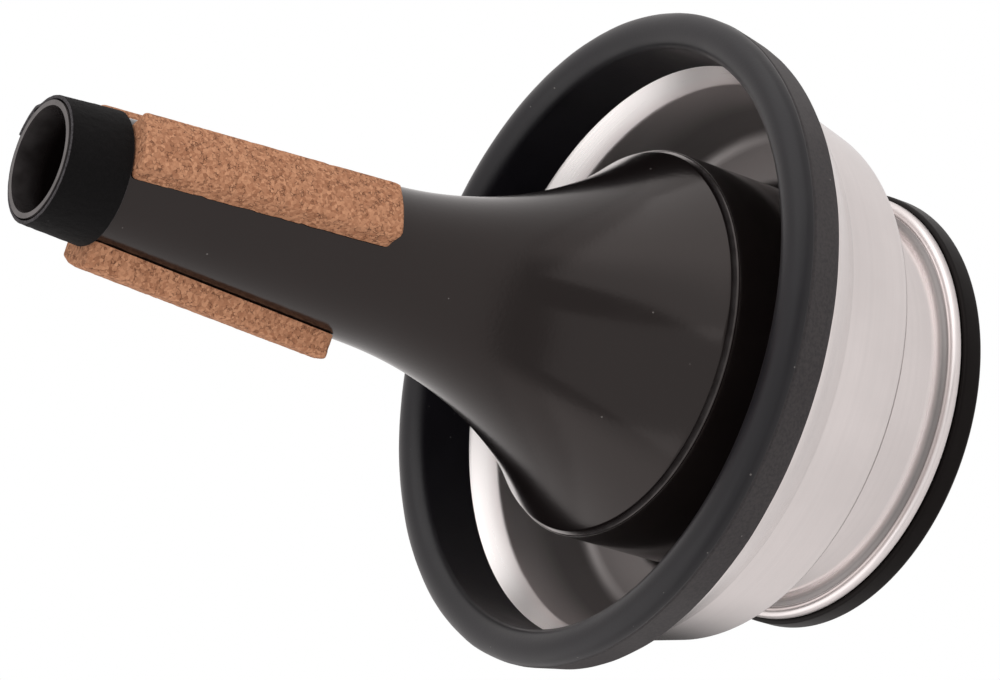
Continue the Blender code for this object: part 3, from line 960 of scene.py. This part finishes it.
@dataclass
class SlidingCup:
    """The spun cup, its rubber edging and the liner in its neck. Sizes in metres."""

    body: MuteBody = field(default_factory=MuteBody)
    wall: float = 0.0007
    liner_thickness: float = 0.0007
    slide_gap: float = 0.0001
    seat_gap: float = 0.00025
    foot_height: float = 0.0043
    foot_radius: float = 0.0398
    foot_thickness: float = 0.0017
    bead_round: float = 0.00105
    neck_length: float = 0.0165
    neck_fillet: float = 0.0015
    fillet_drop: float = 0.0008
    shoulder_fillet: float = 0.0015
    shoulder_corner: float = 0.0036
    shoulder_rise: float = 0.0013
    bowl_lean: float = 12.8
    crease_radius: float = 0.0511
    crease_height: float = 0.0385
    crease_round: float = 0.0020
    band_lean: float = 34.0
    band_round: float = 0.0016
    # Where the inside starts to grow rougher and darker with painted shade, and the height over which it fades in.
    dull_and_shade_start: float = 0.0395
    dull_and_shade_fade: float = 0.0090
    rim_radius: float = 0.05593
    rim_top: float = 0.0534
    edge_outer: float = 0.0028
    edge_taper: float = 0.00095
    edge_inner: float = 0.0026
    edge_outer_leg: float = 0.00595
    edge_inner_leg: float = 0.0095
    edge_bead: float = 0.00345
    step_depth: float = 0.00015
    step_half: float = 0.0003

    @property
    def liner_inner(self) -> float:
        """Inside radius of the liner."""
        return self.body.barrel_radius + self.slide_gap

    @property
    def neck_inner(self) -> float:
        """Inside radius of the cup's neck."""
        return self.liner_inner + self.liner_thickness + self.seat_gap

    @property
    def neck_radius(self) -> float:
        """Outside radius of the cup's neck."""
        return self.neck_inner + self.wall

    @property
    def shoulder_height(self) -> float:
        """Height of the shoulder's flat underside."""
        return self.foot_height + self.neck_length

    def wall_line(self, inset: float) -> Profile:
        """The bowl's section from the shoulder's corner up: a cone, a flared band and the rim.

        Two runs that lean by a and b from the axis meet in a corner. Moved in by the inset,
        the corner goes by inset * (n + m) / (1 + n . m), with n and m the runs' normals.

        Args:
            inset: how far the line lies inside the outer skin.

        Returns:
            The line's (radius, height) points, upwards.
        """
        cone = math.radians(self.bowl_lean)
        band = math.radians(self.band_lean)
        normals = [np.array([math.cos(lean), -math.sin(lean)]) for lean in (cone, band, 0.0)]
        crease = np.array([self.crease_radius, self.crease_height])
        spread = self.rim_radius - self.crease_radius
        swage = crease + np.array([spread, spread / math.tan(band)])
        corners = []
        for corner, before, after in ((crease, *normals[:2]), (swage, *normals[1:])):
            corners.append(corner - inset * (before + after) / (1.0 + float(before @ after)))
        start = crease - np.array([math.tan(cone), 1.0]) * (self.crease_height - self.corner_top)
        start = start - inset * normals[0]
        end = np.array([self.rim_radius - inset, self.rim_top])
        return np.concatenate([
            straight(start, corners[0], 12)[:-3],
            fillet(start, corners[0], corners[1], self.crease_round),
            fillet(corners[0], corners[1], end, self.band_round),
            straight(corners[1] + np.array([0.0, 0.002]), end, 5),
        ])

    @property
    def corner_top(self) -> float:
        """Height where the shoulder's corner runs out into the cone."""
        return self.corner_centre[1] - self.shoulder_corner * math.sin(math.radians(self.bowl_lean))

    @property
    def corner_centre(self) -> tuple[float, float]:
        """Centre of the shoulder's corner, as (radius, height), where the corner touches the cone."""
        cone = math.radians(self.bowl_lean)
        height = self.shoulder_height + self.shoulder_rise + self.shoulder_corner
        reach = (self.crease_height - height) * math.sin(cone) + self.shoulder_corner
        return (self.crease_radius - reach / math.cos(cone), height)

    def inner_radius(self, height: Union[float, np.ndarray]) -> np.ndarray:
        """Inside radius of the bowl at one or more heights."""
        line = self.wall_line(self.wall)
        return np.interp(np.asarray(height, float), line[:, 1], line[:, 0])

    def shell_profile(self) -> tuple[Profile, np.ndarray]:
        """The cup's closed section, and at each point a value for its roughness and painted light.

        The outside runs from the rim down to the foot and the inside back up. The metal
        gets rougher and darker, as painted shade, down the inside over dull_and_shade_fade and
        in the sweep above the foot. The foot's bead and the flared band inside are at one half,
        which is rougher and painted lighter as a painted highlight; the bead also takes a little
        painted shade.

        Returns:
            The points, and a value from 0 to 1 for each.
        """
        neck = self.neck_radius
        shoulder = self.shoulder_height + self.shoulder_rise
        foot_top = self.foot_height + self.foot_thickness
        corner = self.corner_centre
        valley = foot_top - self.fillet_drop + self.neck_fillet
        sweep = arc((neck + self.neck_fillet, valley), self.neck_fillet, 180.0, 270.0, 20)
        middle = (self.foot_radius - self.bead_round, foot_top - self.bead_round)
        bead = arc(middle, self.bead_round, 160.0, 0.0, 28)
        outside = [
            self.wall_line(0.0)[::-1],
            arc(corner, self.shoulder_corner, -self.bowl_lean, -90.0, 20)[1:],
            fillet((corner[0], shoulder), (neck, shoulder), (neck, foot_top), self.shoulder_fillet),
            sweep[sweep[:, 0] < bead[0, 0]],
            bead,
            np.asarray([(self.foot_radius, self.foot_height)]),
        ]
        neck_top = shoulder + self.wall
        inside = [
            np.asarray([(self.neck_inner, self.foot_height)]),
            fillet((self.neck_inner, self.foot_height), (self.neck_inner, neck_top), (corner[0], neck_top),
                   self.shoulder_fillet + self.wall),
            arc(corner, self.shoulder_corner - self.wall, -90.0, -self.bowl_lean, 16),
            self.wall_line(self.wall)[1:],
        ]
        outer = refined(np.concatenate(outside), 0.002, False)
        inner = refined(np.concatenate(inside), 0.002, False)
        # Inside: rougher and darker with depth, painted shade; the band above stays at one half, rougher and painted
        # lighter, a painted highlight.
        inside_dull_and_shade = 0.5 + 0.5 * np.clip((self.dull_and_shade_start - inner[:, 1]) / self.dull_and_shade_fade, 0.0, 1.0)
        # Outside: the sweep above the foot is rougher and darker, painted shade; the bead is painted lighter, a
        # painted highlight, with a little painted shade.
        above = (outer[:, 1] - valley + self.neck_fillet) / (1.6 * self.neck_fillet)
        sweep_dull_and_shade = np.clip(1.35 - above, 0.0, 1.0)
        sweep_dull_and_shade[outer[:, 0] > bead[0, 0]] = 0.0
        sweep_dull_and_shade[-len(bead) - 2:] = 0.62
        return np.concatenate([outer, inner]), np.concatenate([sweep_dull_and_shade, inside_dull_and_shade])

    def shell(self, finish: bpy.types.Material) -> bpy.types.Object:
        """Builds the spun cup, rougher and with painted shade down its inside."""
        profile, dull_and_painted_light = self.shell_profile()
        piece = turned_piece("cup", profile, 288, edge=dull_and_painted_light, sharp=40.0)
        return dress(piece, finish, Carrier.CUP, ["cup_shell"])

    def edging_profile(self) -> Profile:
        """The rubber edging's closed section, down the outer leg and up the inner one."""
        rim = self.rim_radius
        inside_rim = rim - self.wall
        outer = rim + self.edge_outer + self.seat_gap
        step = self.rim_top + 0.0002
        back = step - self.edge_outer_leg
        front = step + self.edge_bead
        inner_end = self.rim_top - self.edge_inner_leg
        inner = inside_rim - self.seat_gap - self.edge_inner
        slot_top = self.rim_top + self.seat_gap
        angle = np.linspace(0.0, np.pi, 41)
        foot = step + self.step_half
        bead = np.stack([0.5 * (inner + outer) - 0.5 * (outer - inner) * np.cos(angle),
                         foot + (front - foot) * np.sin(angle)], axis=1)
        corners = [
            (outer - self.step_depth, step), (outer, step - self.step_half),
            (outer - self.edge_taper, back), (rim + self.seat_gap, back), (rim + self.seat_gap, slot_top),
            (inside_rim - self.seat_gap, slot_top),
        ]
        radii = [0.0002, 0.0001, 0.0003, 0.0, 0.0, 0.0]
        heights = np.linspace(self.rim_top - 0.001, inner_end + 0.0004, 24)
        for height in heights:
            corners.append((float(self.inner_radius(height)) - self.seat_gap, float(height)))
            radii.append(0.0)
        tip = float(self.inner_radius(inner_end)) - self.seat_gap
        corners += [(tip, inner_end), (min(inner, tip - 0.0005), inner_end + 0.0002)]
        radii += [0.0, 0.0]
        legs = rounded([tuple(bead[-1])] + corners + [tuple(bead[0])], [0.0] + radii + [0.0])[1:-1]
        return refined(np.concatenate([bead, legs]), 0.001, True)

    def edging(self, finish: bpy.types.Material) -> bpy.types.Object:
        """Builds the rubber edging, a little uneven as pushed-on rubber is."""
        profile = self.edging_profile()
        step = self.rim_top + 0.0002
        outer = self.rim_radius + self.edge_outer
        edge = near_height(profile, step - self.edge_outer_leg, step, 0.0002) * (profile[:, 0] > outer - 0.0014)

        def settle(points: np.ndarray) -> np.ndarray:
            """Moves the outer skin in and out by up to 0.08 mm of smooth noise."""
            noise = lattice_noise(points, 0.006, 3) + 0.5 * lattice_noise(points, 0.0021, 4)
            radius = np.linalg.norm(points[..., :2], axis=-1)
            share = np.clip((radius - 0.0565) / 0.0012, 0.0, 1.0) * 0.00005
            moved = points.copy()
            moved[..., :2] *= (1.0 + noise * share / radius)[..., None]
            return moved

        piece = turned_piece("edging", profile, 300, edge=edge, shape=settle)
        return dress(piece, finish, Carrier.CUP, ["rim_rubber"])

    def liner(self, finish: bpy.types.Material) -> bpy.types.Object:
        """Builds the felt liner in the neck."""
        low = self.foot_height + 0.001
        high = self.shoulder_height - self.shoulder_fillet
        outer = self.liner_inner + self.liner_thickness
        profile = refined(np.asarray([(outer, high), (outer, low), (self.liner_inner, low), (self.liner_inner, high)]),
                          0.001, True)
        edge = near_height(profile, high - 0.0001, high, 0.0002)
        piece = turned_piece("liner_felt", profile, 180, edge=edge)
        return dress(piece, finish, Carrier.LINER, ["neck_liner"])


@dataclass
class CorkStrips:
    """The cork strips on the cone. Sizes in metres, places in degrees round the axis."""

    body: MuteBody = field(default_factory=MuteBody)
    thickness: float = 0.00395
    width: float = 0.0108
    length: float = 0.0468
    corner: float = 0.0010
    edge_round: float = 0.0006
    top: float = 0.1529
    glue_gap: float = 0.00025
    places: tuple[float, ...] = (-53.8, 56.2, 177.5)

    def strip(self, index: int, place: float, finish: bpy.types.Material) -> bpy.types.Object:
        """Builds one strip.

        Rows run along the strip and columns round its section, a rounded rectangle as wide
        as the plan's outline at that row. A point (across, out) sits at the body's radius
        plus out, turned by across over that radius. Noise chips the edges and the skin.

        Args:
            index: the strip's number.
            place: the angle of its middle.
            finish: its material.

        Returns:
            The strip.
        """
        inset = self.corner * (1.0 - np.cos(np.linspace(0.0, 0.5 * np.pi, 9)))
        along = np.concatenate([inset, np.linspace(self.corner, self.length - self.corner, 130)[1:-1],
                                (self.length - inset)[::-1]])
        depth = np.minimum(along, self.length - along)
        bite = np.clip(self.corner - depth, 0.0, self.corner)
        half = 0.5 * self.width - self.corner + np.sqrt(self.corner ** 2 - bite ** 2)
        section = refined(rounded(
            [(1.0, 0.0), (-1.0, 0.0), (-1.0, 1.0), (1.0, 1.0)], [0.0, 0.0, 0.16, 0.16]), 0.05, True)
        across = section[None, :, 0] * half[:, None]
        out = np.broadcast_to(section[None, :, 1] * self.thickness, across.shape).copy()
        end_drop = self.edge_round * (1.0 - np.sqrt(1.0 - np.clip(1.0 - depth / self.edge_round, 0.0, 1.0) ** 2))
        out = np.minimum(out, (self.thickness - end_drop)[:, None])
        heights = self.top - along
        radius = self.body.radius(heights)[:, None] + self.glue_gap + out
        angle = math.radians(place) + across / radius
        points = np.stack([radius * np.cos(angle), radius * np.sin(angle),
                           np.broadcast_to(heights[:, None], radius.shape)], axis=-1)
        points = self.roughen(points, out, across, half, place)
        piece = sheet_piece(f"cork_{index}", points, False, True, sharp=50.0, close_ends=True)
        return dress(piece, finish, Carrier.BODY, [f"cork_strip_{index}"])

    def roughen(self, points: np.ndarray, out: np.ndarray, across: np.ndarray, half: np.ndarray,
                place: float) -> np.ndarray:
        """Sinks granule-sized pits into the skin and chips the long edges.

        Args:
            points: the strip's points.
            out: each point's height above the strip's back.
            across: each point's place across the strip.
            half: the half width at each row.
            place: the angle of the strip's middle.

        Returns:
            The moved points.
        """
        skin = lattice_noise(points, 0.0009, 11) + 0.6 * lattice_noise(points, 0.0004, 12)
        chips = np.clip(lattice_noise(points, 0.0013, 13), 0.15, 1.0) - 0.15
        rim = np.clip(np.abs(across) / np.maximum(half[:, None], 1e-6) - 0.86, 0.0, 0.14) / 0.14
        sink = np.clip(out / self.thickness, 0.0, 1.0) * (0.00006 * skin - 0.00006)
        inwards = rim * (0.00030 * chips + 0.00004 * (1.0 + skin))
        middle = math.radians(place)
        sideways = np.array([-math.sin(middle), math.cos(middle), 0.0])
        radial = points[..., :2] / np.linalg.norm(points[..., :2], axis=-1)[..., None]
        moved = points.copy()
        moved[..., :2] += radial * sink[..., None]
        moved -= sideways * (np.sign(across) * inwards)[..., None]
        return moved

    def build(self, finish: bpy.types.Material) -> list[bpy.types.Object]:
        """Builds every strip."""
        return [self.strip(index, place, finish) for index, place in enumerate(self.places, start=1)]


@dataclass
class FeltCollar:
    """The felt strip wrapped round the small end. Sizes in metres."""

    body: MuteBody = field(default_factory=MuteBody)
    thickness: float = 0.0006
    width: float = 0.0108
    inset: float = 0.0002
    overlap: float = 28.0
    seam: float = 75.0
    layer_gap: float = 0.0001
    glue_gap: float = 0.00025

    def lift(self, turn: np.ndarray) -> np.ndarray:
        """How far the inner face stands off the body after a turn in degrees.

        It is 0 for the first turn, then eases up by one thickness over half the overlap.
        """
        climb = np.clip((turn - (360.0 - 0.5 * self.overlap)) / (0.5 * self.overlap), 0.0, 1.0)
        return climb * climb * (3.0 - 2.0 * climb) * (self.thickness + self.layer_gap)

    def build(self, finish: bpy.types.Material) -> bpy.types.Object:
        """Builds the strip with a soft, uneven skin and pale cut edges.

        Rows go round the axis and columns round the strip's rounded section.

        Args:
            finish: its material.

        Returns:
            The strip.
        """
        turn = np.linspace(0.0, 360.0 + self.overlap, 420)
        angle = np.radians(self.seam - 360.0 - self.overlap + turn)
        section = rounded([(0.0, 0.0), (0.0, 1.0), (1.0, 1.0), (1.0, 0.0)], [0.0] * 4)
        scaled = section * np.array([self.width, self.thickness])
        scaled = rounded(scaled.tolist(), [0.0001, 0.0002, 0.0002, 0.0001])
        scaled = refined(scaled, 0.0004, True)
        heights = self.body.length - self.inset - scaled[None, :, 0]
        out = scaled[None, :, 1]
        radius = self.body.radius(heights) + self.glue_gap + out + self.lift(turn)[:, None]
        points = np.stack([radius * np.cos(angle)[:, None], radius * np.sin(angle)[:, None],
                           np.broadcast_to(heights, radius.shape)], axis=-1)
        fuzz = lattice_noise(points, 0.0008, 21) + 0.7 * lattice_noise(points, 0.0003, 22)
        share = np.clip(out / self.thickness, 0.0, 1.0)
        grown = fuzz * share * 0.00004
        points[..., :2] *= (1.0 + grown / radius)[..., None]
        edge = np.broadcast_to(np.where((scaled[:, 0] < 0.00012) | (scaled[:, 0] > self.width - 0.00012), 1.0, 0.0),
                               radius.shape).copy()
        edge[-3:] = 1.0
        piece = sheet_piece("collar", points, False, True, edge, sharp=60.0, close_ends=True)
        return dress(piece, finish, Carrier.BODY, ["felt_collar"])


# The studio


@dataclass
class Studio:
    """Floor, lamps, world and camera. Lengths in metres, angles in degrees."""

    aim: tuple[float, float, float] = (-0.005599, 0.0, 0.072345)
    distance: float = 0.59186
    elevation: float = 31.533
    roll: float = -72.661
    lens: float = 123.69
    floor_size: float = 8.0
    surround: float = 0.68
    reflected: float = 1.0
    background: float = 1.0
    card: float = 0.45
    warmth: tuple[float, float, float] = (1.0, 0.958, 0.948)
    dim: float = 0.50
    # A painted shadow on the floor near the base: its strength, its middle and its reach.
    shade: float = 0.10
    shade_place: tuple[float, float] = (-0.068, 0.050)
    shade_reach: tuple[float, float] = (0.028, 0.080)
    dim_height: float = 10.0
    dim_inner: float = 45.0
    dim_outer: float = 72.0

    def camera(self) -> bpy.types.Object:
        """Makes the camera at the photograph's angle.

        It looks along +Y and down by the elevation, and is then rolled about its own axis.

        Returns:
            The camera.
        """
        tilt = math.radians(self.elevation)
        forward = Vector((0.0, math.cos(tilt), -math.sin(tilt)))
        level = Vector((1.0, 0.0, 0.0))
        upright = Vector((0.0, math.sin(tilt), math.cos(tilt)))
        turn = math.radians(self.roll)
        right = level * math.cos(turn) + upright * math.sin(turn)
        up = upright * math.cos(turn) - level * math.sin(turn)
        data = bpy.data.cameras.new("photo_camera")
        data.sensor_width = 36.0
        data.lens = self.lens
        data.clip_start = 0.01
        data.clip_end = 50.0
        camera = bpy.data.objects.new("photo_camera", data)
        bpy.context.scene.collection.objects.link(camera)
        place = Vector(self.aim) - forward * self.distance
        axes = Matrix((right, up, -forward)).transposed().to_4x4()
        camera.matrix_world = Matrix.Translation(place) @ axes
        bpy.context.scene.camera = camera
        return camera

    def glow(self, sheet: NodeSheet, reflected: Feed) -> tuple[bpy.types.NodeSocket, bpy.types.NodeSocket]:
        """Colour and strength of the white set.

        The camera sees plain white at full strength, glosses see a warm white at their own
        strength, and the object is lit by the same white at the least strength.

        Args:
            sheet: the tree that it is laid in.
            reflected: the strength that glosses see.

        Returns:
            The colour and the strength.
        """
        path = sheet.add("ShaderNodeLightPath")
        gloss = path.outputs["Is Glossy Ray"]
        lighting = sheet.math("ADD", sheet.math("MULTIPLY", gloss, reflected),
                              sheet.math("MULTIPLY", sheet.math("SUBTRACT", 1.0, gloss), self.surround))
        seen = path.outputs["Is Camera Ray"]
        kept = sheet.math("MULTIPLY", lighting, sheet.math("SUBTRACT", 1.0, seen))
        colour = sheet.blend(seen, (*self.warmth, 1.0), (1.0, 1.0, 1.0, 1.0))
        return colour, sheet.math("MULTIPLY_ADD", seen, self.background, kept)

    def world(self) -> None:
        """Lights the set from all round, and shows plain white to the camera.

        The end of the room that faces the object's near side is dimmer in glosses: by the
        cosine of a direction to that end, it eases from full strength to dim.
        """
        world = bpy.data.worlds.new("studio_world")
        world.use_nodes = True
        bpy.context.scene.world = world
        sheet = NodeSheet(world.node_tree)
        shader = world.node_tree.nodes["Background"]
        tilt = math.radians(self.dim_height)
        place = sheet.add("ShaderNodeTexCoord")
        towards = sheet.add("ShaderNodeVectorMath", operation="DOT_PRODUCT")
        sheet.feed(towards.inputs[0], place.outputs["Generated"])
        sheet.feed(towards.inputs[1], (0.0, -math.cos(tilt), math.sin(tilt)))
        side = sheet.remap(towards.outputs["Value"], math.cos(math.radians(self.dim_outer)),
                           math.cos(math.radians(self.dim_inner)), self.reflected, self.dim, smooth=True)
        colour, strength = self.glow(sheet, side)
        sheet.feed(shader.inputs["Color"], colour)
        sheet.feed(shader.inputs["Strength"], strength)

    def floor(self) -> bpy.types.Object:
        """Makes the floor, plain white to the camera and a matte white card to the light, with a painted shadow near
        the base in what light and glosses see.
        """
        half = 0.5 * self.floor_size
        mesh = bpy.data.meshes.new("studio_floor")
        mesh.from_pydata([(-half, -half, 0.0), (half, -half, 0.0), (half, half, 0.0), (-half, half, 0.0)], [],
                         [(0, 1, 2, 3)])
        floor = bpy.data.objects.new("studio_floor", mesh)
        bpy.context.scene.collection.objects.link(floor)
        made = bpy.data.materials.new("studio_floor")
        made.use_nodes = True
        sheet = NodeSheet(made.node_tree)
        made.node_tree.nodes.remove(made.node_tree.nodes["Principled BSDF"])
        matte = sheet.add("ShaderNodeBsdfDiffuse")
        glow = sheet.add("ShaderNodeEmission")
        place = sheet.add("ShaderNodeTexCoord")
        away = sheet.add("ShaderNodeVectorMath", operation="DISTANCE")
        sheet.feed(away.inputs[0], place.outputs["Object"])
        sheet.feed(away.inputs[1], (*self.shade_place, 0.0))
        # Painted shadow: darker near the base in the floor's matte colour and in the glow that glosses see; the camera
        # still sees plain white.
        seen = sheet.remap(away.outputs["Value"], *self.shade_reach, self.shade, self.reflected, smooth=True)
        sheet.feed(matte.inputs["Color"], sheet.math("MULTIPLY", seen, 0.85))
        colour, strength = self.glow(sheet, seen)
        sheet.feed(glow.inputs["Color"], colour)
        sheet.feed(glow.inputs["Strength"], strength)
        mix = sheet.add("ShaderNodeMixShader")
        path = sheet.add("ShaderNodeLightPath")
        sheet.feed(mix.inputs[0], sheet.remap(path.outputs["Is Camera Ray"], 0.0, 1.0, self.card, 1.0))
        sheet.feed(mix.inputs[1], matte.outputs[0])
        sheet.feed(mix.inputs[2], glow.outputs[0])
        output = made.node_tree.nodes["Material Output"]
        sheet.feed(output.inputs["Surface"], mix.outputs[0])
        mesh.materials.append(made)
        return floor

    def lamp(self, name: str, place: Sequence[float], target: Sequence[float], size: tuple[float, float],
             power: float) -> bpy.types.Object:
        """Makes one soft box.

        Args:
            name: its name.
            place: where it stands.
            target: what it faces.
            size: its width and height.
            power: its power in watts.

        Returns:
            The lamp.
        """
        data = bpy.data.lights.new(name, "AREA")
        data.shape = "RECTANGLE"
        data.size, data.size_y = size
        data.energy = power
        lamp = bpy.data.objects.new(name, data)
        bpy.context.scene.collection.objects.link(lamp)
        direction = Vector(target) - Vector(place)
        lamp.matrix_world = Matrix.Translation(place) @ direction.to_track_quat("-Z", "Y").to_matrix().to_4x4()
        return lamp

    def build(self) -> None:
        """Builds the whole set."""
        self.camera()
        self.world()
        self.floor()
        middle = (0.0, 0.0, 0.07)
        self.lamp("overhead_box", (0.95, -0.20, 0.75), middle, (2.0, 1.3), 5.0)
        self.lamp("low_box", (-0.95, 0.05, 0.75), middle, (1.6, 1.1), 2.0)
        self.lamp("front_box", (-0.30, -1.0, 0.9), middle, (1.6, 1.4), 2.5)


def main() -> None:
    """Builds the studio, the finishes and every piece, in order."""
    logging.basicConfig(level=logging.INFO, format="%(name)s: %(message)s")
    bpy.context.scene.view_settings.view_transform = "Standard"
    Studio().build()
    effects = Effects()
    plastic = MouldedPlastic("moulded_plastic", (0.0065, 0.0046, 0.0045), 0.15).build(effects)
    aluminium = SpunAluminium("spun_aluminium", (0.765, 0.722, 0.714), 0.11).build(effects)
    rubber = EdgingRubber("edging_rubber", (0.0062, 0.0056, 0.0080), 0.36).build(effects)
    cork = GranulatedCork("granulated_cork", (0.42, 0.188, 0.100), 0.88).build(effects)
    felt = PressedFelt("pressed_felt", (0.0022, 0.0019, 0.0021), 0.95).build(effects)
    cap_plastic = MouldedPlastic("cap_plastic", (0.0042, 0.0034, 0.0034), 0.34, gloss=0.12).build(effects)
    body = MuteBody()
    body.shell(plastic)
    body.cap(cap_plastic)
    cup = SlidingCup(body)
    cup.shell(aluminium)
    cup.edging(rubber)
    cup.liner(felt)
    CorkStrips(body).build(cork)
    FeltCollar(body).build(felt)


if __name__ == "__main__":
    main()
